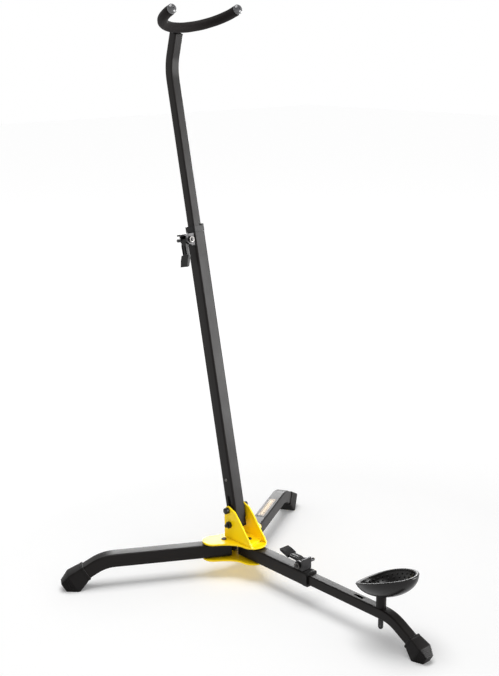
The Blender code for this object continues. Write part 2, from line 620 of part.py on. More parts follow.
def build_clamp(side, root, at):
    """A lever clamp. Its frame: X towards the tube's mouth, Y away from the face, Z along the bolt."""
    face = -CLAMP_H
    inside = CHEEK_OUT - CHEEK

    def cheek_outline():
        arc = [(7.5 * mm * math.cos(math.radians(a)), 7.5 * mm * math.sin(math.radians(a))) for a in range(75, 181, 15)]
        return [(-9.6 * mm, face + GAP), (9.2 * mm, face + GAP), (9.2 * mm, 4 * mm), (6.7 * mm, 7.5 * mm), *arc,
                (-9.6 * mm, -1.5 * mm)]

    bracket = piece(side + "_clamp_bracket", prism(cheek_outline(), inside, CHEEK_OUT), "black_steel", root, at)
    join(prism(cheek_outline(), -CHEEK_OUT, -inside), bracket, name="far_cheek")
    join(box((-9.6 * mm, face + GAP, -CHEEK_OUT + 0.01 * mm), (9.2 * mm, face + 2 * mm, CHEEK_OUT - 0.01 * mm)),
         bracket, name="base")
    join(box((6.9 * mm, face + 0.5 * mm, -9.6 * mm), (9.4 * mm, 11.5 * mm, 9.6 * mm)), bracket, name="front_plate")
    cutter(box((-6.6 * mm, face - 3 * mm, -5.4 * mm), (6.6 * mm, face + 3 * mm, 5.4 * mm)), bracket, name="window")
    cutter(rod(CLAMP_BOLT + GAP / 2, -20 * mm, 20 * mm, steps=20), bracket, name="bolt_hole")

    low, high = -25.5 * mm, CHEEK_OUT + 5 * mm
    piece(side + "_clamp_bolt", turned([
        (0, low), (1.5 * mm, low + 0.2 * mm), (CLAMP_BOLT, low + 1.6 * mm), (CLAMP_BOLT, -CHEEK_OUT - 2.3 * mm - 1 * mm),
        (4.6 * mm, -CHEEK_OUT - 3.3 * mm), (4.6 * mm, -CHEEK_OUT - 1 * mm), (CLAMP_BOLT, -CHEEK_OUT - 1 * mm),
        (CLAMP_BOLT, high - 0.5 * mm), (CLAMP_BOLT - 0.5 * mm, high), (0, high)]), "bright_steel", root, at)
    nut(side + "_clamp_nut", 9 * mm, CHEEK_OUT + GAP, CHEEK_OUT + 3.8 * mm, CLAMP_BOLT + GAP / 2, root, at,
        "bright_steel")
    piece(side + "_clamp_pad", box((-6 * mm, face - TUBE_WALL - 1.2 * mm, -5 * mm), (6 * mm, -5.5 * mm, 5 * mm)),
          "black_plastic", root, at)

    # the lever: a cam on the bolt, two slim arms with a rib between, and a flared paddle
    pivot = empty(side + "_lever_pivot", root, at)
    cam = [(5.1 * mm * math.cos(math.radians(a)), 5.1 * mm * math.sin(math.radians(a))) for a in range(-90, 61, 25)]
    profile = [*cam, (1.6 * mm, 6.3 * mm), (-1.8 * mm, 7.2 * mm), (-4.6 * mm, 8 * mm), (-9 * mm, 9 * mm),
               (-25 * mm, 8.6 * mm),
               (-25 * mm, 4.6 * mm), (-11 * mm, 4.2 * mm), (-6.5 * mm, 2.5 * mm), (-5.1 * mm, -1 * mm),
               (-3.6 * mm, -3.6 * mm)]
    lever = piece(side + "_clamp_lever", prism(profile, -5.8 * mm, 5.8 * mm), "black_plastic", pivot)
    paddle = [(-23.5 * mm, 8.8 * mm), (-23.5 * mm, 4.4 * mm), (-41 * mm, 10.4 * mm), (-41.6 * mm, 14 * mm),
              (-32 * mm, 12 * mm)]
    join(prism(paddle, -9 * mm, 9 * mm), lever, name="paddle")
    for i, w in enumerate((-3.2 * mm, 3.2 * mm)):
        cutter(box((-22 * mm, 6.3 * mm, w - 1.3 * mm), (-8.5 * mm, 15 * mm, w + 1.3 * mm)), lever,
               name=f"groove_{i + 1}")
    cutter(rod(CLAMP_BOLT + GAP / 2, -20 * mm, 20 * mm, steps=20), lever, name="bolt_hole")
    return pivot


# ------------------------------------------------------------------ mast and yoke
def build_mast(root):
    u, n = mast_axes()
    fold = empty("mast_pivot", root, pose((0, *MAST_PIVOT), (1, 0, 0), u, n))
    across = Vector((1, 0, 0))
    piece("pivot_spacer", ring(BOLT + GAP, 5.5 * mm, -TUBE / 2 + TUBE_WALL + GAP, TUBE / 2 - TUBE_WALL - GAP, across),
          "black_steel", fold)

    lift = empty("mast_lift", fold)
    tube = piece("mast_outer_tube", square_tube(TUBE, TUBE_WALL, TUBE_CORNER, [("go", MAST_TOP - MAST_BOTTOM)]),
                 "black_powder_coat", lift, Matrix.Translation((0, MAST_BOTTOM, 0)))
    up = -MAST_BOTTOM
    straight = (SLOT[1] - SLOT[0]) / 2 - SLOT_HALF
    slot = [(side * straight + SLOT_HALF * math.cos(math.radians(a)), SLOT_HALF * math.sin(math.radians(a)))
            for side, start in ((1, -90), (-1, 90)) for a in range(start, start + 181, 20)]
    sideways = pose((0, 0, 0), (0, 1, 0), (0, 0, 1), (1, 0, 0))
    cutter(prism(slot, -20 * mm, 20 * mm), tube,
           Matrix.Translation((0, up + (SLOT[0] + SLOT[1]) / 2, 0)) @ sideways, "slot")
    # a notch in each side wall seats on the stop bolts and lets them out forwards as the mast folds
    stop = up - STOP_BELOW
    notch = [(stop - 20 * mm, -3.4 * mm), (stop + 1.2 * mm, -3.4 * mm), (stop + 3.35 * mm, -1.5 * mm),
             (stop + 3.35 * mm, 1.6 * mm), (stop + 7.6 * mm, 12.5 * mm), (stop - 20 * mm, 12.5 * mm)]
    for side, sign in (("left", -1), ("right", 1)):
        low, high = sorted((sign * 8 * mm, sign * 14 * mm))
        cutter(prism(notch, low, high), tube, sideways, side + "_notch")
    clamp_y = up + MAST_TOP - CLAMP_FROM_END
    cutter(box((-15 * mm, clamp_y - 6.6 * mm, -5.6 * mm), (-6 * mm, clamp_y + 6.6 * mm, 5.6 * mm)), tube,
           name="pad_window")
    cutter(rod(1.8 * mm, -14 * mm, -8 * mm, across, 16), tube, Matrix.Translation((0, up + STOP_RIVET_AT, 0)),
           "rivet_hole")
    r = TUBE / 2
    piece("mast_stop_rivet", turned([(0, 8.2 * mm), (2.6 * mm, 8.2 * mm), (2.6 * mm, 9.2 * mm), (1.5 * mm, 9.2 * mm),
                                     (1.5 * mm, r + GAP), (2.9 * mm, r + GAP), (2.2 * mm, r + 1.5 * mm),
                                     (0, r + 1.9 * mm)], 16), "bright_steel", lift,
          pose((0, STOP_RIVET_AT, 0), (0, 1, 0), (0, 0, -1), (-1, 0, 0)))
    end_sleeve("mast_end_sleeve", lift, Matrix.Translation((0, MAST_TOP, 0)))
    clamp_at = pose((-TUBE / 2 - CLAMP_H, MAST_TOP - CLAMP_FROM_END, 0), (0, 1, 0), (-1, 0, 0), (0, 0, 1))
    build_clamp("mast", lift, clamp_at)

    extend = empty("mast_extension", lift, Matrix.Translation((0, MAST_TOP, 0)))
    shift = MAST_INNER_START - MAST_TOP
    piece("mast_inner_tube", square_tube(INNER, INNER_WALL, INNER_CORNER, [
        ("go", MAST_BEND_AT - MAST_INNER_START), ("bend", MAST_BEND_RADIUS, MAST_BEND, 6), ("go", MAST_TAIL + 2.5 * mm)]),
        "black_powder_coat", extend, Matrix.Translation((0, shift, 0)))
    # the tube's open end, where the yoke's stem goes in: middle of the bend, then round it and up the tail
    turn = math.radians(MAST_BEND)
    along = Vector((0, math.cos(turn), math.sin(turn)))
    end = Vector((0, MAST_BEND_AT - MAST_TOP + MAST_BEND_RADIUS * math.sin(turn), MAST_BEND_RADIUS * (1 - along.y)))
    socket = pose(end + MAST_TAIL * along, (1, 0, 0), (0, along.z, -along.y), along)
    build_yoke(extend, fold.matrix_basis @ Matrix.Translation((0, MAST_TOP, 0)), socket)


def build_yoke(extend, frame, socket):
    """A bent rod on a cranked stem that goes into the mast, its foam sleeve and its two end caps."""
    tilt = math.radians(YOKE_TILT)
    # own frame: X across, Y back and down along the arms, Z square to the arms
    local = frame.inverted() @ pose((0, *YOKE_TIPS), (1, 0, 0), (0, math.cos(tilt), -math.sin(tilt)),
                                    (0, math.sin(tilt), math.cos(tilt)))
    def swept(outside, inside, end):
        """Along the yoke from one arm to the other; end is how far the arms run past the tips' line."""
        path = [("go", YOKE_ARM + end), ("bend", YOKE_RADIUS, 180, 18), ("go", YOKE_ARM + end)]
        bm = run(outside, inside, path)
        # the run bends in its YZ plane: lay that plane on the yoke's own XY plane
        bm.transform(Matrix(((0, 0, 1, -YOKE_RADIUS), (0, 1, 0, -end), (1, 0, 0, 0), (0, 0, 0, 1))))
        return bm

    bar = piece("yoke_bar", swept(circle(YOKE_ROD, 12), None, 0.0), "black_steel", extend, local)
    # the stem stands in the tube's end; a short neck leads from it forwards to the middle of the rod
    stem = local.inverted() @ socket
    elbow = stem @ Vector((0, 0, 3 * mm))
    middle = Vector((0, YOKE_ARM + YOKE_RADIUS, 0))
    neck = (middle - elbow).normalized()
    join(rod(5.2 * mm, -22 * mm, 5 * mm, steps=16), bar, stem, "stem")
    join(rod(4.4 * mm, 0, (middle - elbow).length + 1 * mm, neck, 12), bar, Matrix.Translation(elbow), "neck")
    sleeve = piece("yoke_sleeve", swept(circle(SLEEVE_RADIUS, 14), circle(YOKE_ROD + GAP, 12), -1.2 * mm),
                   "black_foam", extend, local)
    cutter(rod(5.7 * mm, -10 * mm, 5.6 * mm, steps=16), sleeve, stem, "stem_hole")
    cutter(rod(4.9 * mm, 0, (middle - elbow).length + 1.8 * mm, neck, 12), sleeve, Matrix.Translation(elbow),
           "neck_hole")
    for side, sign in (("left", -1), ("right", 1)):
        r = 7.5 * mm
        cap = turned([(YOKE_ROD + GAP, -1.2 * mm + GAP), (r, -1.2 * mm + GAP), (r, 2.6 * mm), (r - 1.2 * mm, 4.4 * mm),
                      (r - 3.2 * mm, YOKE_CAP), (0.8 * mm, YOKE_CAP + 0.4 * mm), (0.8 * mm, GAP + 0.4 * mm),
                      (YOKE_ROD + GAP, GAP + 0.4 * mm)], 20)
        piece("yoke_cap_" + side, cap, "cap_plastic", extend,
              local @ pose((sign * YOKE_RADIUS, 0, 0), (1, 0, 0), (0, 0, 1), (0, -1, 0)))


# ------------------------------------------------------------------ the stand
def main():
    clear_scene()
    root = empty("stand", None, Matrix.Translation((0, CENTRE_Y, 0)))
    pivots = build_hub(root)
    build_cross_bolts(root)
    for side, spot in pivots.items():
        build_rear_leg(side, root, spot)
    build_front_leg(root)
    build_mast(root)


main()
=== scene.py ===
"""Finishes the woodwind stand: paint, rubber, foam and hardware, with a plain studio round it."""

import json
import math

import bmesh
import bpy
from bpy.props import FloatProperty, FloatVectorProperty, IntProperty, PointerProperty
from mathutils import Matrix, Vector, noise


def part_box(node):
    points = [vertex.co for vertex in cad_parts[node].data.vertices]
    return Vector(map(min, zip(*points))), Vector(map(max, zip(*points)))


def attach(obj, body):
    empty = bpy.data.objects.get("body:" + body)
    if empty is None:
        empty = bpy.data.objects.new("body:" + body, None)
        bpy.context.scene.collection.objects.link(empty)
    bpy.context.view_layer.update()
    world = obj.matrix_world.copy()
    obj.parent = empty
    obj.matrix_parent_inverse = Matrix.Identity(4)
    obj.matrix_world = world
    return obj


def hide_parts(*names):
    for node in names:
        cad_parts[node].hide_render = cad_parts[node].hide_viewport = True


bl_info = {
    "name": "Woodwind stand",
    "version": (1, 0, 0),
    "blender": (4, 5, 0),
    "location": "3D View > Sidebar > Stand",
    "description": "Builds the soft pieces, the finishes and the studio of a folding woodwind stand",
    "category": "Object",
}

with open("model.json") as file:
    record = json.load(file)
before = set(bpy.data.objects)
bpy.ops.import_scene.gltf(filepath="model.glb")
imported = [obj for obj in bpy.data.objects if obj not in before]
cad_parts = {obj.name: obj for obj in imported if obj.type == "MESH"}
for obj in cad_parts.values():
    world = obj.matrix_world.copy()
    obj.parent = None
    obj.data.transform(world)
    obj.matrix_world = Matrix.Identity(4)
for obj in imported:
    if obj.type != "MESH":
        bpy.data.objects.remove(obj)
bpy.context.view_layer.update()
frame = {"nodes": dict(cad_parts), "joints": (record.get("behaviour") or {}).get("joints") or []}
NODES = frame["nodes"]
JOINTS = {joint["name"]: joint for joint in frame["joints"]}
MM = 0.001

# tidying of meshes: points this near are one point, and edges sharper than these angles stay sharp
CAD_WELD = 0.005 * MM
MERGE = 0.002 * MM
TINY = 1e-7
CAD_SHARP = math.radians(36)
SHARP = math.radians(32)

# the foam: its cut ends are drawn in over a short run, after which the bend of the U begins
FOAM_CUT = 1.2 * MM
FOAM_EASE = 0.8 * MM
BEND_START = 2.0 * MM
BEND_STEPS = 60
DRAWN_IN = 0.95
# the caps' middles lie this many millimetres ahead of the rod's ends
CAP_AHEAD = 2.5

# the legs: their spread in degrees, and how far their ends fall
LEG_SPREAD = 60
LEG_FALL = math.radians(30)
# straight run, radius of the bend, and run from the bend to the boot's mouth, in millimetres
REAR_LEG = (178, 65, 14.5)
FRONT_LEG = (307, 60, 26)
HUB_AHEAD = 14.75 * MM
LEG_HEIGHT = 45 * MM
REAR_BOOT = {"half": 12.4 * MM, "scale": 1.0, "tube_half": 11 * MM}
FRONT_BOOT = {"half": 10.4 * MM, "scale": 0.84, "tube_half": 8 * MM}

# the cup: its middle, its raised sides, its drooping lip, its nubs and its two collars
CUP_AHEAD = 9.4 * MM
CUP_HEIGHT = 102.2 * MM
SADDLE = 3 * MM
LIP_START, LIP_RUN = 0.45, 0.55
LIP_DROOP = 1.6 * MM
LIP_REACH = 10 * MM
LIP_THICKER = 0.17
NUB_ROWS = (0.26, 0.44, 0.62)
NUB_SIZE = (1.7 * MM, 1.7 * MM, 1.2 * MM)
# inside radius, outside radius, foot and top, in millimetres
COLLARS = ((4.3, 8.2, 70.5, 75.2), (4.3, 10.0, 73.5, 78.9))

# the label: half the length and half the width of its print, its border's inside and its speckled band
PRINT_HALF = (36 * MM, 4.6 * MM)
BORDER_HALF = (34.6 * MM, 3.8 * MM)
BAND_HALF = (32 * MM, 2.7 * MM)

DUST = (0.30, 0.28, 0.26)
RUBBED_PAINT = (1.0, 0.80, 0.12)
FILM = (0.03, 0.026, 0.022)
NYLON = (0.009, 0.0085, 0.0085)
CAP_VINYL = (0.05, 0.05, 0.053)
PLATED = (0.13, 0.125, 0.12)
BLACKENED = (0.030, 0.029, 0.030)

# the studio: half the floor's width, what the lamps look at, and the camera (turn, fall, roll in degrees)
FLOOR_HALF = 9
TARGET = (0, 0.05, 0.35)
CAMERA_SPOT = (-1.1507, -1.18603, 0.8545)
CAMERA_ANGLES = (-41.96, 14.79, -0.40)
CAMERA_LENS = 41.05
CAMERA_SENSOR = 24
CAMERA_FAR = 60


# ------------------------------------------------------------------ settings
class StandSizes(bpy.types.PropertyGroup):
    sleeve_radius: FloatProperty(name="Sleeve radius", description="Outside radius of the foam on the yoke",
                                 default=7.8 * MM, unit="LENGTH")
    sleeve_bore: FloatProperty(name="Sleeve bore", description="Radius of the hole through the foam",
                               default=4.8 * MM, unit="LENGTH")
    yoke_radius: FloatProperty(name="Yoke radius",
                               description="Middle of the yoke's rod to the middle of the U",
                               default=64 * MM, unit="LENGTH")
    yoke_tilt: FloatProperty(name="Yoke tilt", description="How far the arms rise towards their tips",
                             default=math.radians(22.5), subtype="ANGLE")
    cup_width: FloatProperty(name="Cup half width", description="Half the width of the cup",
                             default=37 * MM, unit="LENGTH")
    cup_length: FloatProperty(name="Cup half length", description="Half the length of the cup",
                              default=53 * MM, unit="LENGTH")
    cup_depth: FloatProperty(name="Cup depth", description="Depth of the cup under its rim",
                             default=27 * MM, unit="LENGTH")
    cup_wall: FloatProperty(name="Cup wall", description="Thickness of the cup",
                            default=3.6 * MM, unit="LENGTH")
    cup_tilt: FloatProperty(name="Cup tilt", description="How far the cup's front end rises",
                            default=math.radians(20.5), subtype="ANGLE")
    boot_ribs: IntProperty(name="Boot ribs", description="Ribs round the nose of each rubber boot", default=6)


class StandColours(bpy.types.PropertyGroup):
    hub: FloatVectorProperty(name="Hub paint", description="Paint on the plates and the bracket",
                             subtype="COLOR", default=(1.0, 0.70, 0.004), min=0, max=1)
    coat: FloatVectorProperty(name="Powder coat", description="Coat on the tubes", subtype="COLOR",
                              default=(0.0075, 0.0062, 0.0058), min=0, max=1)
    rubber: FloatVectorProperty(name="Boot rubber", description="The three boots", subtype="COLOR",
                                default=(0.0045, 0.0036, 0.0034), min=0, max=1)
    cup: FloatVectorProperty(name="Cup rubber", description="The cup", subtype="COLOR",
                             default=(0.0034, 0.0026, 0.0024), min=0, max=1)
    foam: FloatVectorProperty(name="Foam", description="The sleeve on the yoke", subtype="COLOR",
                              default=(0.0060, 0.0046, 0.0044), min=0, max=1)
    print_ink: FloatVectorProperty(name="Label print", description="Light print on the leg's label",
                                   subtype="COLOR", default=(0.55, 0.40, 0.24), min=0, max=1)


# ------------------------------------------------------------------ shader groups
def new_group(name, inputs, outputs):
    """An empty node group with its sockets: inputs are (name, default), outputs (name, socket type)."""
    group = bpy.data.node_groups.new(name, "ShaderNodeTree")
    group.interface.new_socket("Vector", in_out="INPUT", socket_type="NodeSocketVector")
    for label, value in inputs:
        group.interface.new_socket(label, in_out="INPUT", socket_type="NodeSocketFloat").default_value = value
    for label, kind in outputs:
        group.interface.new_socket(label, in_out="OUTPUT", socket_type=kind)
    return group, group.nodes.new("NodeGroupInput"), group.nodes.new("NodeGroupOutput")


def add(tree, kind, values=(), **settings):
    """A node with its settings and its socket values: values are (socket, number) pairs."""
    node = tree.nodes.new(kind)
    for key, value in settings.items():
        setattr(node, key, value)
    for socket, value in values:
        node.inputs[socket].default_value = value
    return node


def shared_groups():
    """Grain: fine orange peel and broad patches. Specks: sparse small marks. Settle: dust on upward faces."""
    if "stand grain" in bpy.data.node_groups:
        return
    group, start, end = new_group("stand grain", (("Fine scale", 900), ("Broad scale", 14)),
                                  (("Fine", "NodeSocketFloat"), ("Broad", "NodeSocketFloat")))
    fine = add(group, "ShaderNodeTexNoise", (("Detail", 3.0), ("Roughness", 0.55)))
    broad = add(group, "ShaderNodeTexNoise", (("Detail", 5.0), ("Roughness", 0.62)))
    spread = add(group, "ShaderNodeMapRange", ((1, 0.3), (2, 0.7), (3, 0.0), (4, 1.0)))
    for node, socket in ((fine, "Fine scale"), (broad, "Broad scale")):
        group.links.new(start.outputs["Vector"], node.inputs["Vector"])
        group.links.new(start.outputs[socket], node.inputs["Scale"])
    group.links.new(broad.outputs["Fac"], spread.inputs[0])
    group.links.new(fine.outputs["Fac"], end.inputs["Fine"])
    group.links.new(spread.outputs[0], end.inputs["Broad"])

    group, start, end = new_group("stand specks", (("Scale", 260), ("Size", 0.16)),
                                  (("Mask", "NodeSocketFloat"),))
    cells = add(group, "ShaderNodeTexVoronoi", feature="F1")
    sparse = add(group, "ShaderNodeTexNoise", (("Scale", 40.0), ("Detail", 2.0)))
    dot = add(group, "ShaderNodeMath", operation="LESS_THAN")
    some = add(group, "ShaderNodeMath", ((1, 0.57),), operation="GREATER_THAN")
    both = add(group, "ShaderNodeMath", operation="MULTIPLY")
    group.links.new(start.outputs["Vector"], cells.inputs["Vector"])
    group.links.new(start.outputs["Vector"], sparse.inputs["Vector"])
    group.links.new(start.outputs["Scale"], cells.inputs["Scale"])
    group.links.new(cells.outputs["Distance"], dot.inputs[0])
    group.links.new(start.outputs["Size"], dot.inputs[1])
    group.links.new(sparse.outputs["Fac"], some.inputs[0])
    group.links.new(dot.outputs[0], both.inputs[0])
    group.links.new(some.outputs[0], both.inputs[1])
    group.links.new(both.outputs[0], end.inputs["Mask"])

    group, start, end = new_group("stand settle", (("Amount", 0.2),), (("Mask", "NodeSocketFloat"),))
    facing = add(group, "ShaderNodeNewGeometry")
    parts = add(group, "ShaderNodeSeparateXYZ")
    upward = add(group, "ShaderNodeMapRange", ((1, 0.35), (2, 1.0), (3, 0.0), (4, 1.0)))
    drift = add(group, "ShaderNodeTexNoise", (("Scale", 55.0), ("Detail", 6.0), ("Roughness", 0.7)))
    thin = add(group, "ShaderNodeMath", operation="MULTIPLY")
    less = add(group, "ShaderNodeMath", operation="MULTIPLY")
    group.links.new(facing.outputs["Normal"], parts.inputs[0])
    group.links.new(parts.outputs["Z"], upward.inputs[0])
    group.links.new(start.outputs["Vector"], drift.inputs["Vector"])
    group.links.new(upward.outputs[0], thin.inputs[0])
    group.links.new(drift.outputs["Fac"], thin.inputs[1])
    group.links.new(thin.outputs[0], less.inputs[0])
    group.links.new(start.outputs["Amount"], less.inputs[1])
    group.links.new(less.outputs[0], end.inputs["Mask"])


class Finish:
    """One material under construction, with the socket links that every finish here needs."""

    def __init__(self, name, metallic=0.0, specular=0.5, coat=0.0):
        self.made = bpy.data.materials.new(name)
        self.made.use_nodes = True
        self.tree = self.made.node_tree
        self.shader = self.tree.nodes["Principled BSDF"]
        self.shader.inputs["Metallic"].default_value = metallic
        self.shader.inputs["Specular IOR Level"].default_value = specular
        self.shader.inputs["Coat Weight"].default_value = coat
        self.shader.inputs["Coat Roughness"].default_value = 0.12
        self.place = add(self.tree, "ShaderNodeTexCoord")

    def link(self, out, into):
        self.tree.links.new(out, into)

    def group(self, name, **values):
        node = add(self.tree, "ShaderNodeGroup", node_tree=bpy.data.node_groups[name])
        for label, value in values.items():
            node.inputs[label.replace("_", " ")].default_value = value
        self.link(self.place.outputs["Object"], node.inputs["Vector"])
        return node

    def blend(self, mask, low, high):
        """A colour between two, by a mask; low may be a colour or another node's output."""
        node = add(self.tree, "ShaderNodeMix", data_type="RGBA")
        self.link(mask, node.inputs["Factor"])
        for socket, value in ((6, low), (7, high)):
            if isinstance(value, bpy.types.NodeSocket):
                self.link(value, node.inputs[socket])
            else:
                node.inputs[socket].default_value = (*value[:3], 1)
        return node.outputs[2]

    def ranged(self, value, low, high):
        node = add(self.tree, "ShaderNodeMapRange", ((1, 0.0), (2, 1.0), (3, low), (4, high)))
        self.link(value, node.inputs[0])
        return node.outputs[0]

    def plus(self, first, second, weight=1.0):
        node = add(self.tree, "ShaderNodeMath", ((2, 0.0),), operation="MULTIPLY_ADD")
        self.link(second, node.inputs[0])
        node.inputs[1].default_value = weight
        self.link(first, node.inputs[2])
        return node.outputs[0]

    def bump(self, height, distance, strength=1.0):
        node = add(self.tree, "ShaderNodeBump", (("Distance", distance), ("Strength", strength)))
        self.link(height, node.inputs["Height"])
        self.link(node.outputs["Normal"], self.shader.inputs["Normal"])

    def into(self, label, out):
        self.link(out, self.shader.inputs[label])


def shade(colour, times):
    """A lighter or darker version of a colour."""
    return tuple(min(1.0, c * times) for c in colour[:3])


def grained(name, colour, roughness, grain, peel, metallic=0.0, specular=0.5, coat=0.0, dust=0.12, light=1.5):
    """A finish with orange peel, broad tone patches, small specks and a breath of dust."""
    made = bpy.data.materials.get(name)
    if made:
        return made
    work = Finish(name, metallic, specular, coat)
    texture = work.group("stand grain", Fine_scale=grain)
    specks = work.group("stand specks")
    dusty = work.group("stand settle", Amount=dust)
    base = work.blend(texture.outputs["Broad"], shade(colour, 0.85), shade(colour, 1.12))
    base = work.blend(work.ranged(specks.outputs["Mask"], 0.0, 0.5), base, shade(colour, light))
    work.into("Base Color", work.blend(dusty.outputs["Mask"], base, DUST))
    rough = work.ranged(texture.outputs["Broad"], roughness - 0.05, roughness + 0.05)
    work.into("Roughness", work.plus(rough, texture.outputs["Fine"], 0.04))
    work.bump(texture.outputs["Fine"], peel)
    return work.made


def rolled_steel(name, colour, roughness, metallic=1.0):
    """Plated hardware: fine turning marks and patches of duller plating."""
    made = bpy.data.materials.get(name)
    if made:
        return made
    work = Finish(name, metallic)
    stretch = add(work.tree, "ShaderNodeMapping", (("Scale", (2600.0, 260.0, 2600.0)),))
    lines = add(work.tree, "ShaderNodeTexNoise", (("Scale", 1.0), ("Detail", 2.0)))
    work.link(work.place.outputs["Object"], stretch.inputs["Vector"])
    work.link(stretch.outputs["Vector"], lines.inputs["Vector"])
    texture = work.group("stand grain", Fine_scale=1500, Broad_scale=120)
    work.into("Base Color", work.blend(texture.outputs["Broad"], shade(colour, 0.72), shade(colour, 1.1)))
    rough = work.ranged(texture.outputs["Broad"], roughness + 0.1, roughness - 0.05)
    work.into("Roughness", work.plus(rough, lines.outputs["Fac"], 0.12))
    work.bump(lines.outputs["Fac"], 0.02 * MM)
    return work.made


def painted_plate(name, colour):
    """Glossy hub paint: soft orange peel under a clear gloss, and thinner, rubbed paint along the edges."""
    made = bpy.data.materials.get(name)
    if made:
        return made
    work = Finish(name, specular=0.18, coat=0.12)
    texture = work.group("stand grain", Fine_scale=420, Broad_scale=22)
    specks = work.group("stand specks", Scale=180, Size=0.1)
    rounded = add(work.tree, "ShaderNodeBevel", (("Radius", 0.7 * MM),), samples=4)
    facing = add(work.tree, "ShaderNodeNewGeometry")
    agree = add(work.tree, "ShaderNodeVectorMath", operation="DOT_PRODUCT")
    work.link(rounded.outputs["Normal"], agree.inputs[0])
    work.link(facing.outputs["Normal"], agree.inputs[1])
    edge = add(work.tree, "ShaderNodeMapRange", ((1, 0.99), (2, 0.86), (3, 0.0), (4, 0.55)))
    work.link(agree.outputs["Value"], edge.inputs[0])
    base = work.blend(texture.outputs["Broad"], shade(colour, 0.93), shade(colour, 1.0))
    base = work.blend(edge.outputs[0], base, RUBBED_PAINT)
    base = work.blend(work.ranged(specks.outputs["Mask"], 0.0, 0.35), base, shade(colour, 0.5))
    work.into("Base Color", base)
    work.into("Roughness", work.ranged(texture.outputs["Broad"], 0.26, 0.36))
    work.bump(texture.outputs["Fine"], 0.03 * MM)
    return work.made


def printed_label(name, colour):
    """A dark film with light generic print: a border round a speckled band, and no lettering."""
    work = Finish(name, specular=0.4)
    axis = Vector((math.sin(math.radians(LEG_SPREAD)), math.cos(math.radians(LEG_SPREAD)), 0))
    low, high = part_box("right_leg_label")
    middle = (low + high) / 2
    turn = add(work.tree, "ShaderNodeMapping", vector_type="TEXTURE")
    turn.inputs["Location"].default_value = middle
    turn.inputs["Rotation"].default_value = (0, 0, math.atan2(axis.y, axis.x))
    work.link(work.place.outputs["Object"], turn.inputs["Vector"])
    parts = add(work.tree, "ShaderNodeSeparateXYZ")
    work.link(turn.outputs["Vector"], parts.inputs[0])

    def math_node(kind, first, second):
        node = add(work.tree, "ShaderNodeMath", operation=kind)
        for socket, value in ((0, first), (1, second)):
            if isinstance(value, bpy.types.NodeSocket):
                work.link(value, node.inputs[socket])
            else:
                node.inputs[socket].default_value = value
        return node.outputs[0]

    along = math_node("ABSOLUTE", parts.outputs["X"], 0)
    across = math_node("ABSOLUTE", parts.outputs["Y"], 0)

    def within(length, width):
        shorter, narrower = math_node("LESS_THAN", along, length), math_node("LESS_THAN", across, width)
        return math_node("MULTIPLY", shorter, narrower)

    inside = within(*PRINT_HALF)
    grain = add(work.tree, "ShaderNodeTexNoise", (("Scale", 330.0), ("Detail", 4.0), ("Roughness", 0.7)))
    work.link(turn.outputs["Vector"], grain.inputs["Vector"])
    edge = math_node("MAXIMUM", math_node("GREATER_THAN", along, BORDER_HALF[0]),
                     math_node("GREATER_THAN", across, BORDER_HALF[1]))
    band = within(*BAND_HALF)
    cloud = math_node("GREATER_THAN", grain.outputs["Fac"], 0.42)
    print_mask = math_node("MULTIPLY", inside, math_node("MAXIMUM", edge, math_node("MULTIPLY", band, cloud)))
    work.into("Base Color", work.blend(print_mask, FILM, colour))
    work.into("Roughness", work.ranged(grain.outputs["Fac"], 0.35, 0.6))
    work.bump(print_mask, 0.02 * MM)
    return work.made


# ------------------------------------------------------------------ making pieces
def colours():
    return bpy.context.scene.stand_colours


def sizes():
    return bpy.context.scene.stand_sizes


def coat_material():
    return grained("satin powder coat", colours().coat, roughness=0.34, grain=1100, peel=0.035 * MM,
                   specular=0.15, dust=0.01)


def finish_node(name, made, rim=0.25 * MM, segments=2):
    """Gives a frame node its material and softly rounded edges."""
    obj = NODES[name]
    obj.data.materials.clear()
    obj.data.materials.append(made)
    obj.data.shade_smooth()
    weld = obj.modifiers.new("weld", "WELD")
    weld.merge_threshold = CAD_WELD
    if rim:
        bevel = obj.modifiers.new("rim", "BEVEL")
        bevel.width = rim
        bevel.segments = segments
        bevel.limit_method = "ANGLE"
        bevel.angle_limit = CAD_SHARP
    normals = obj.modifiers.new("even normals", "WEIGHTED_NORMAL")
    normals.keep_sharp = True
    normals.weight = 50


def new_piece(name, bm, made, body, replaced):
    """A finished mesh becomes a piece of the stand, in place of its plain frame node."""
    bmesh.ops.remove_doubles(bm, verts=bm.verts, dist=MERGE)
    bm.normal_update()
    bmesh.ops.recalc_face_normals(bm, faces=bm.faces)
    mesh = bpy.data.meshes.new(name)
    bm.to_mesh(mesh)
    bm.free()
    mesh.materials.append(made)
    mesh.shade_smooth()
    mesh.set_sharp_from_angle(angle=SHARP)
    obj = bpy.data.objects.new(name, mesh)
    bpy.context.scene.collection.objects.link(obj)
    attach(obj, body)
    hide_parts(replaced)
    return obj


def moved(geom):
    """The points and the faces among what an operator returns."""
    verts = [g for g in geom if isinstance(g, bmesh.types.BMVert)]
    return verts, [g for g in geom if isinstance(g, bmesh.types.BMFace)]


def extrude(bm, faces):
    """Pulls end faces out in place: the new points and the new end faces."""
    edges = list(dict.fromkeys(e for f in faces for e in f.edges))
    return moved(bmesh.ops.extrude_face_region(bm, geom=faces + edges)["geom"])


def yoke_place():
    """The yoke's own frame: X across, Y back and down along the arms, from between the two tips."""
    tilt = sizes().yoke_tilt
    cap_low, cap_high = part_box("yoke_cap_left")
    middle = Vector((0, (cap_low.y + cap_high.y) / 2, (cap_low.z + cap_high.z) / 2))
    along = Vector((0, math.cos(tilt), -math.sin(tilt)))
    place = Matrix(((1, 0, 0), along, (0, math.sin(tilt), math.cos(tilt)))).transposed().to_4x4()
    place.translation = middle + along * CAP_AHEAD * MM
    return place


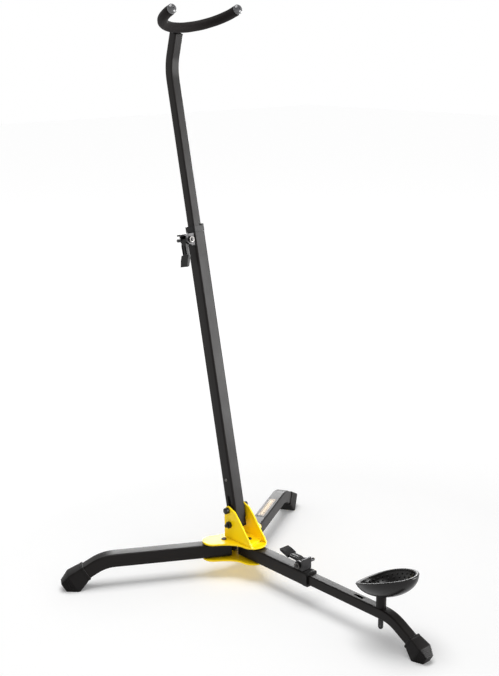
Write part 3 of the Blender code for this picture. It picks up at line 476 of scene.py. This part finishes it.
class STAND_OT_yoke_sleeve(bpy.types.Operator):
    """The foam sleeve drawn over the yoke's rod"""

    bl_idname = "stand.yoke_sleeve"
    bl_label = "Yoke sleeve"

    def execute(self, context):
        s = sizes()
        bm = bmesh.new()

        def narrow(verts, spot, times):
            """Draws the outer points of one end in towards the rod, or lets them out again."""
            outer = [v for v in verts if (v.co - spot).length > s.sleeve_radius * 0.9]
            bmesh.ops.scale(bm, vec=(times, 1, times), verts=outer, space=Matrix.Translation(-spot))

        rings = []
        for radius in (s.sleeve_radius, s.sleeve_bore):
            ring = bmesh.ops.create_circle(bm, segments=32, radius=radius,
                                           matrix=Matrix.Rotation(math.radians(90), 4, "X"))["verts"]
            rings += list(dict.fromkeys(e for v in ring for e in v.link_edges))
        faces = bmesh.ops.bridge_loops(bm, edges=rings)["faces"]
        start = Vector((s.yoke_radius, FOAM_CUT, 0))
        bmesh.ops.translate(bm, verts=bm.verts, vec=start)
        # the foam's cut end is slightly drawn in where it meets the cap
        narrow(bm.verts, start, DRAWN_IN)
        verts, faces = extrude(bm, faces)
        narrow(verts, start, 1 / DRAWN_IN)
        bmesh.ops.translate(bm, verts=verts, vec=(0, FOAM_EASE, 0))
        centre = Vector((0, BEND_START, 0))
        step = Matrix.Rotation(math.pi / BEND_STEPS, 3, "Z")
        for _ in range(BEND_STEPS):
            verts, faces = extrude(bm, faces)
            bmesh.ops.rotate(bm, verts=verts, cent=centre, matrix=step)
        verts, faces = extrude(bm, faces)
        bmesh.ops.translate(bm, verts=verts, vec=(0, -FOAM_EASE, 0))
        narrow(verts, Vector((-s.yoke_radius, FOAM_CUT, 0)), DRAWN_IN)
        # the skin of the foam is never quite even, and gathers slightly inside the bend
        for v in bm.verts:
            arm = Vector((v.co.x, v.co.y - BEND_START, 0))
            heading = arm.normalized() if v.co.y > BEND_START else Vector((math.copysign(1, v.co.x), 0, 0))
            middle = heading * s.yoke_radius + Vector((0, min(v.co.y, BEND_START), 0))
            away = v.co - middle
            if away.length > s.sleeve_radius * 0.9:
                inner = max(0.0, -away.normalized().dot(heading))
                angle = math.atan2(v.co.x, v.co.y)
                soft = noise.noise(v.co * 90) * 0.22 + noise.noise(v.co * 320) * 0.08
                soft -= inner * 0.16 * (0.5 + 0.5 * math.sin(angle * 58))
                v.co += away.normalized() * soft * MM
        bm.transform(yoke_place())
        foam = foam_material()
        sleeve = new_piece("yoke_foam_sleeve", bm, foam, "mast_top", "yoke_sleeve")
        return {"FINISHED"}


def foam_material():
    """Closed-cell foam: a skin of tiny pits with a soft sheen."""
    work = Finish("foam skin", specular=0.12)
    work.shader.inputs["Sheen Weight"].default_value = 0.02
    work.shader.inputs["Sheen Roughness"].default_value = 0.5
    cells = add(work.tree, "ShaderNodeTexVoronoi", (("Scale", 1500.0),), feature="F1")
    work.link(work.place.outputs["Object"], cells.inputs["Vector"])
    texture = work.group("stand grain", Fine_scale=700, Broad_scale=60)
    base = colours().foam
    work.into("Base Color", work.blend(texture.outputs["Broad"], shade(base, 0.8), shade(base, 1.35)))
    work.into("Roughness", work.ranged(texture.outputs["Fine"], 0.62, 0.8))
    work.bump(work.plus(texture.outputs["Fine"], cells.outputs["Distance"], 0.8), 0.09 * MM)
    return work.made


# ------------------------------------------------------------------ boots
def leg_place(joint, mouth_out, mouth_down, heading):
    """The boot's own frame at its mouth: Y along the leg's end, Z square to it and upwards."""
    flat = Vector((math.sin(heading), math.cos(heading), 0))
    along = flat * math.cos(LEG_FALL) + Vector((0, 0, -math.sin(LEG_FALL)))
    up = flat * math.sin(LEG_FALL) + Vector((0, 0, math.cos(LEG_FALL)))
    place = Matrix((along.cross(up), along, up)).transposed().to_4x4()
    place.translation = Vector(joint) + flat * mouth_out + Vector((0, 0, -mouth_down))
    return place


def past_bend(straight, radius, beyond):
    """How far out and how far down a boot's mouth lies from where its leg starts."""
    out = (straight + radius * math.sin(LEG_FALL) + beyond * math.cos(LEG_FALL)) * MM
    down = (radius * (1 - math.cos(LEG_FALL)) + beyond * math.sin(LEG_FALL)) * MM
    return out, down


def boot_mesh(half, scale, tube_half, ribs):
    """A boot along +Y from its mouth: a lip, a flared body, a ribbed nose and a pocket for the tube."""
    bm = bmesh.new()
    bmesh.ops.create_grid(bm, x_segments=1, y_segments=1, size=1)
    bmesh.ops.bevel(bm, geom=bm.verts[:], offset=0.19, offset_type="OFFSET", segments=4, profile=0.5,
                    affect="VERTICES", material=-1)
    bm.transform(Matrix.Rotation(math.radians(90), 4, "X"))
    mouth_half = half - 0.5 * MM
    bmesh.ops.scale(bm, vec=(mouth_half, 1, mouth_half), verts=bm.verts)
    spot = (0.0, mouth_half, mouth_half, 0.0)
    long = 27 * MM * scale
    end = 43 * MM * scale
    wide, tall, fall = 15 * MM * scale, 17 * MM * scale, -3.4 * MM * scale
    tip_wide, tip_tall, tip_fall = 9.5 * MM * scale, 8.9 * MM * scale, -1.6 * MM * scale
    stations = [(0.5 * MM, half, half, 0.0), (3.4 * MM, half + 0.25 * MM, half + 0.25 * MM, 0.0),
                (3.9 * MM, half - 0.15 * MM, half - 0.15 * MM, 0.0)]
    for t in (0.25, 0.5, 0.75, 0.97):
        y = 4 * MM + (long - 4 * MM) * t
        ease = t ** 0.9
        stations.append((y, half + (wide - half) * ease, half + (tall - half) * ease, fall * ease))
    stations.append((long + 0.3 * MM, wide - 0.1 * MM, tall - 0.1 * MM, fall))
    for i in range(ribs):
        for part, lift in ((0.1, -0.5 * MM), (0.42, -0.5 * MM), (0.55, 0.15 * MM), (1.0, 0.15 * MM)):
            t = (i + part) / ribs
            stations.append((long + (end - long) * t, wide + (tip_wide - wide) * t + lift,
                             tall + (tip_tall - tall) * t + lift, fall + (tip_fall - fall) * t))
    faces = bm.faces[:]
    for number, (y, x, z, drop) in enumerate(stations):
        if number:
            verts, faces = extrude(bm, faces)
        else:
            # the first pull leaves the mouth's own face behind, for the pocket
            verts, faces = moved(bmesh.ops.extrude_face_region(bm, geom=faces)["geom"])
        y0, x0, z0, drop0 = spot
        bmesh.ops.translate(bm, verts=verts, vec=(0, y - y0, -drop0))
        bmesh.ops.scale(bm, vec=(x / x0, 1, z / z0), verts=verts)
        bmesh.ops.translate(bm, verts=verts, vec=(0, 0, drop))
        spot = (y, x, z, drop)
    bmesh.ops.inset_region(bm, faces=faces, thickness=1.2 * MM, depth=-0.5 * MM, use_even_offset=True)
    # the pocket in the mouth
    opening = [f for f in bm.faces if all(abs(v.co.y) < TINY for v in f.verts)]
    bmesh.ops.inset_region(bm, faces=opening, thickness=mouth_half - tube_half - 0.25 * MM, depth=0)
    reach = tube_half + 0.3 * MM
    inner = [f for f in bm.faces
             if all(abs(v.co.y) < TINY and max(abs(v.co.x), abs(v.co.z)) < reach for v in f.verts)]
    verts, _ = extrude(bm, inner)
    bmesh.ops.translate(bm, verts=verts, vec=(0, 20.5 * MM * scale, 0))
    return bm


class STAND_OT_boots(bpy.types.Operator):
    """Three rubber boots with a lip, a ribbed nose and a flat sole"""

    bl_idname = "stand.boots"
    bl_label = "Rubber boots"

    def execute(self, context):
        rubber = grained("boot rubber", colours().rubber, roughness=0.46, grain=1700, peel=0.05 * MM,
                         specular=0.16, dust=0.01, light=2.2)
        ribs = sizes().boot_ribs
        for side, turn in (("left", -LEG_SPREAD), ("right", LEG_SPREAD)):
            bm = boot_mesh(**REAR_BOOT, ribs=ribs)
            place = leg_place(JOINTS[side + "_leg_fold"]["pos_m"], *past_bend(*REAR_LEG), math.radians(turn))
            self.finish(bm, place, side + "_rubber_boot", side + "_leg", side + "_leg_boot", rubber)
        bm = boot_mesh(**FRONT_BOOT, ribs=ribs)
        centre = Vector((0, JOINTS["left_leg_fold"]["pos_m"][1] - HUB_AHEAD, LEG_HEIGHT))
        place = leg_place(centre, *past_bend(*FRONT_LEG), math.pi)
        self.finish(bm, place, "front_rubber_boot", "front_extension", "front_boot", rubber)
        return {"FINISHED"}

    def finish(self, bm, place, name, body, node, rubber):
        """Sets a boot on its leg and cuts its sole flat at the floor."""
        bm.transform(place)
        bmesh.ops.bisect_plane(bm, geom=bm.verts[:] + bm.edges[:] + bm.faces[:], dist=TINY,
                               plane_co=(0, 0, 0), plane_no=(0, 0, -1), clear_outer=True)
        bmesh.ops.holes_fill(bm, edges=[e for e in bm.edges if e.is_boundary], sides=0)
        new_piece(name, bm, rubber, body, node)


# ------------------------------------------------------------------ cup
class STAND_OT_cup(bpy.types.Operator):
    """The tilted rubber cup with its rolled rim, grip nubs and boss"""

    bl_idname = "stand.cup"
    bl_label = "Instrument cup"

    def execute(self, context):
        s = sizes()
        pivot = Vector(JOINTS["cup_swivel"]["pos_m"])
        along = Vector((0, -math.cos(s.cup_tilt), math.sin(s.cup_tilt)))
        up = Vector((0, math.sin(s.cup_tilt), math.cos(s.cup_tilt)))
        place = Matrix(((-1, 0, 0), along, up)).transposed().to_4x4()
        place.translation = (0, pivot.y - CUP_AHEAD, CUP_HEIGHT)
        half = Vector((s.cup_width, s.cup_length, s.cup_depth))

        def saddle(co):
            """The rim stands higher at the sides, and the back end runs out into a drooping lip."""
            lift = SADDLE * (co.x / half.x) ** 2
            back = min(1.0, max(0.0, (-co.y / half.y - LIP_START) / LIP_RUN))
            near_rim = min(1.0, max(0.0, 1 + co.z / LIP_REACH))
            return Vector((co.x, co.y, co.z + lift - LIP_DROOP * back ** 2 * near_rim))

        bm = bmesh.new()
        wall = s.cup_wall
        bead = wall / 2 + 0.3 * MM
        outline = [(half.x * math.sin(a), 0.0, -half.z * math.cos(a)) for a in self.steps(0, 86, 22)]
        outline += [(half.x - wall / 2 + bead * math.cos(a), 0.0, -2.0 * MM + bead * math.sin(a))
                    for a in self.steps(-20, 200, 12)]
        outline += [((half.x - wall) * math.sin(a), 0.0, -(half.z - wall) * math.cos(a))
                    for a in self.steps(84, 0, 20)]
        verts = [bm.verts.new(co) for co in outline]
        edges = [bm.edges.new(pair) for pair in zip(verts, verts[1:])]
        bmesh.ops.spin(bm, geom=verts + edges, cent=(0, 0, 0), axis=(0, 0, 1), angle=math.tau, steps=88,
                       use_merge=True, use_duplicate=False)
        bmesh.ops.scale(bm, vec=(1, half.y / half.x, 1), verts=bm.verts)
        for v in bm.verts:
            # the lip: at the back the hollow starts further in
            inner = (v.co.x / (half.x - wall * 0.6)) ** 2 + (v.co.y / (half.y - wall * 0.6)) ** 2 < 1
            inner = inner and v.co.z > -half.z * math.sqrt(max(0.0, 1 - (v.co.x / half.x) ** 2
                                                              - (v.co.y / half.y) ** 2)) + wall * 0.5
            if inner and v.co.y < 0:
                v.co.y *= 1 - LIP_THICKER * (v.co.y / half.y) ** 2
            v.co = saddle(v.co)
        self.nubs(bm, Vector((half.x - wall, (half.x - wall) * half.y / half.x, half.z - wall)), saddle)
        bm.transform(place)
        axis = Matrix.Translation((pivot.x, pivot.y, 0))
        for inside, outside, low, high in COLLARS:
            self.collar(bm, axis, inside * MM, outside * MM, low * MM, high * MM)
        made = grained("cup rubber", colours().cup, roughness=0.24, grain=1300, peel=0.03 * MM,
                       specular=0.32, dust=0.0, light=2.0)
        new_piece("cup_bowl", bm, made, "cup", "instrument_cup")
        return {"FINISHED"}

    def steps(self, first, last, count):
        """Angles from first to last, in radians."""
        return [math.radians(first + (last - first) * i / count) for i in range(count + 1)]

    def nubs(self, bm, inside, saddle):
        """Rows of low grip nubs round the inner wall."""
        for row, depth in enumerate(NUB_ROWS):
            reach = math.sqrt(1 - depth ** 2)
            count = 30 - 4 * row
            for i in range(count):
                a = math.tau * (i + 0.5 * (row % 2)) / count
                spot = Vector((inside.x * reach * math.cos(a), inside.y * reach * math.sin(a),
                               -inside.z * depth))
                if spot.y < 0:
                    spot.y *= 1 - LIP_THICKER * (spot.y / inside.y) ** 2
                outward = Vector((spot.x / inside.x ** 2, spot.y / inside.y ** 2, spot.z / inside.z ** 2))
                turn = Vector((0, 0, 1)).rotation_difference(-outward.normalized()).to_matrix().to_4x4()
                shape = Matrix.Translation(saddle(spot)) @ turn @ Matrix.Diagonal((*NUB_SIZE, 1))
                bmesh.ops.create_icosphere(bm, subdivisions=2, radius=1, matrix=shape)

    def collar(self, bm, axis, inside, outside, low, high):
        """A flat ring round the stud, with its outer edges eased."""
        ease = 0.5 * MM
        outline = ((inside, low), (outside - ease, low), (outside, low + ease), (outside, high - ease),
                   (outside - ease, high), (inside, high))
        verts = [bm.verts.new(axis @ Vector((r, 0, z))) for r, z in outline]
        edges = [bm.edges.new(pair) for pair in zip(verts, verts[1:] + verts[:1])]
        bmesh.ops.spin(bm, geom=verts + edges, cent=axis.translation, axis=(0, 0, 1), angle=math.tau,
                       steps=40, use_merge=True, use_duplicate=False)


# ------------------------------------------------------------------ finishes on the frame's own pieces
class STAND_OT_hub(bpy.types.Operator):
    """Yellow paint on the hub's plates and its folded bracket"""

    bl_idname = "stand.hub"
    bl_label = "Hub paint"

    def execute(self, context):
        paint = painted_plate("hub paint", colours().hub)
        for name in ("top_plate", "bottom_plate", "mast_bracket"):
            finish_node(name, paint, 0.3 * MM)
        return {"FINISHED"}


class STAND_OT_tubes(bpy.types.Operator):
    """Satin powder coat on every tube and on the cup's post"""

    bl_idname = "stand.tubes"
    bl_label = "Tube coat"

    def execute(self, context):
        coat = coat_material()
        for name in NODES:
            if name.endswith("_tube") or name == "cup_post":
                finish_node(name, coat, 0.2 * MM)
        return {"FINISHED"}


class STAND_OT_plastics(bpy.types.Operator):
    """Nylon end sleeves, levers, pads and washers, and the yoke's glossy caps"""

    bl_idname = "stand.plastics"
    bl_label = "Plastic pieces"

    def execute(self, context):
        nylon = grained("nylon", NYLON, roughness=0.34, grain=1500, peel=0.03 * MM,
                        specular=0.16, dust=0.01, light=2.0)
        caps = grained("cap vinyl", CAP_VINYL, roughness=0.2, grain=1200, peel=0.01 * MM,
                       specular=0.6, coat=0.5, dust=0.03)
        for name in NODES:
            if name.startswith("yoke_cap"):
                finish_node(name, caps, 0.3 * MM, 3)
            elif name.endswith(("_end_sleeve", "_lever", "_pad", "_washer")):
                finish_node(name, nylon, 0.35 * MM if name.endswith("_lever") else 0.2 * MM)
        return {"FINISHED"}


class STAND_OT_hardware(bpy.types.Operator):
    """Bright and blackened bolts, nuts, rivets and clamp brackets"""

    bl_idname = "stand.hardware"
    bl_label = "Hardware"

    def execute(self, context):
        bright = rolled_steel("plated steel", PLATED, roughness=0.22)
        dark = rolled_steel("blackened steel", BLACKENED, roughness=0.30, metallic=0.7)
        shiny = ("front_clamp_nut", "mast_clamp_nut", "mast_stop_rivet")
        plain = ("_rivet", "_bolt", "_nut", "_spacer", "_clamp_bracket", "_stud", "yoke_bar")
        for name in NODES:
            if name in shiny:
                finish_node(name, bright, 0.12 * MM)
            elif name.endswith(plain):
                finish_node(name, dark, 0.15 * MM)
        return {"FINISHED"}


class STAND_OT_label(bpy.types.Operator):
    """The printed film on the right leg, without lettering"""

    bl_idname = "stand.label"
    bl_label = "Leg label"

    def execute(self, context):
        finish_node("right_leg_label", printed_label("label film", colours().print_ink), rim=0)
        return {"FINISHED"}


# ------------------------------------------------------------------ studio
class STAND_OT_studio(bpy.types.Operator):
    """A pale floor, soft light and the camera"""

    bl_idname = "stand.studio"
    bl_label = "Studio"

    def execute(self, context):
        scene = context.scene
        scene.view_settings.view_transform = "Standard"
        bm = bmesh.new()
        bmesh.ops.create_grid(bm, x_segments=8, y_segments=8, size=FLOOR_HALF)
        mesh = bpy.data.meshes.new("studio_floor")
        bm.to_mesh(mesh)
        bm.free()
        floor = bpy.data.objects.new("studio_floor", mesh)
        scene.collection.objects.link(floor)
        work = Finish("studio floor", specular=0.0)
        work.shader.inputs["Roughness"].default_value = 1.0
        work.shader.inputs["Base Color"].default_value = (0.93, 0.93, 0.93, 1)
        work.shader.inputs["Emission Color"].default_value = (1, 1, 1, 1)
        # the floor glows a little where the lamps no longer reach it, so that it stays evenly pale
        reach = add(work.tree, "ShaderNodeVectorMath", operation="LENGTH")
        work.link(work.place.outputs["Object"], reach.inputs[0])
        glow = add(work.tree, "ShaderNodeMapRange", ((1, 0.5), (2, 1.9), (3, 0.12), (4, 0.6)))
        work.link(reach.outputs["Value"], glow.inputs[0])
        work.into("Emission Strength", glow.outputs[0])
        mesh.materials.append(work.made)

        world = bpy.data.worlds.new("studio")
        world.use_nodes = True
        sky = world.node_tree.nodes["Background"]
        sky.inputs["Color"].default_value = (1.0, 1.0, 1.0, 1)
        # white all round at the height of the eye, and dimmer overhead
        tree = world.node_tree
        place = add(tree, "ShaderNodeTexCoord")
        height = add(tree, "ShaderNodeSeparateXYZ")
        dim = add(tree, "ShaderNodeMapRange", ((1, 0.22), (2, 0.55), (3, 1.0), (4, 0.3)))
        tree.links.new(place.outputs["Generated"], height.inputs[0])
        tree.links.new(height.outputs["Z"], dim.inputs[0])
        tree.links.new(dim.outputs[0], sky.inputs["Strength"])
        scene.world = world

        target = Vector(TARGET)
        self.softbox("overhead", spot=Vector((-0.1, 0.15, 2.1)), aim=Vector((0, 0.1, 0)),
                     width=1.3, height=1.3, power=28)
        side = self.softbox("front_right", spot=target + Vector((1.2, -1.4, 0.22)),
                            aim=target + Vector((0, 0, 0.1)), width=0.8, height=1.3, power=50)
        back = self.softbox("back_right", spot=Vector((1.3, 1.5, 0.72)), aim=Vector((0, 0.1, 0.05)),
                            width=1.3, height=0.6, power=24)
        # these two only draw the gleam along the tubes: the floor keeps the overhead lamp's soft shadows
        unlit = bpy.data.collections.new("side_lamps_leave_out")
        for obj in (floor, NODES["bottom_plate"]):
            unlit.objects.link(obj)
        for entry in unlit.collection_objects:
            entry.light_linking.link_state = "EXCLUDE"
        for lamp in (side, back):
            lamp.light_linking.receiver_collection = unlit

        camera = bpy.data.cameras.new("camera")
        camera.sensor_fit = "VERTICAL"
        camera.sensor_height = CAMERA_SENSOR
        camera.lens = CAMERA_LENS
        camera.clip_end = CAMERA_FAR
        view = bpy.data.objects.new("camera", camera)
        scene.collection.objects.link(view)
        around, down, roll = (math.radians(a) for a in CAMERA_ANGLES)
        behind = Vector((math.sin(around) * math.cos(down), -math.cos(around) * math.cos(down),
                         math.sin(down)))
        turn = (-behind).to_track_quat("-Z", "Y").to_matrix().to_4x4() @ Matrix.Rotation(roll, 4, "Z")
        view.matrix_world = Matrix.Translation(CAMERA_SPOT) @ turn
        scene.camera = view
        return {"FINISHED"}

    def softbox(self, name, spot, aim, width, height, power):
        """A rectangular lamp at spot that looks at aim."""
        light = bpy.data.lights.new(name, "AREA")
        light.shape = "RECTANGLE"
        light.size, light.size_y = width, height
        light.energy = power
        obj = bpy.data.objects.new(name, light)
        bpy.context.scene.collection.objects.link(obj)
        obj.location = spot
        obj.rotation_euler = (aim - spot).to_track_quat("-Z", "Y").to_euler()
        return obj


class STAND_PT_panel(bpy.types.Panel):
    """Lists the stand's settings and the steps that build it"""

    bl_idname = "STAND_PT_panel"
    bl_label = "Woodwind stand"
    bl_space_type = "VIEW_3D"
    bl_region_type = "UI"
    bl_category = "Stand"

    def draw(self, context):
        for group in (context.scene.stand_sizes, context.scene.stand_colours):
            column = self.layout.column(align=True)
            for name in group.__annotations__:
                column.prop(group, name)
        for step in STEPS:
            self.layout.operator(step.bl_idname)


STEPS = (STAND_OT_hub, STAND_OT_tubes, STAND_OT_plastics, STAND_OT_hardware, STAND_OT_label,
         STAND_OT_yoke_sleeve, STAND_OT_boots, STAND_OT_cup, STAND_OT_studio)
CLASSES = (StandSizes, StandColours, *STEPS, STAND_PT_panel)


def register():
    for cls in CLASSES:
        bpy.utils.register_class(cls)
    bpy.types.Scene.stand_sizes = PointerProperty(type=StandSizes)
    bpy.types.Scene.stand_colours = PointerProperty(type=StandColours)


def unregister():
    del bpy.types.Scene.stand_colours
    del bpy.types.Scene.stand_sizes
    for cls in reversed(CLASSES):
        bpy.utils.unregister_class(cls)


def main():
    register()
    shared_groups()
    for step in STEPS:
        family, name = step.bl_idname.split(".")
        getattr(getattr(bpy.ops, family), name)()


if __name__ == "__main__":
    main()
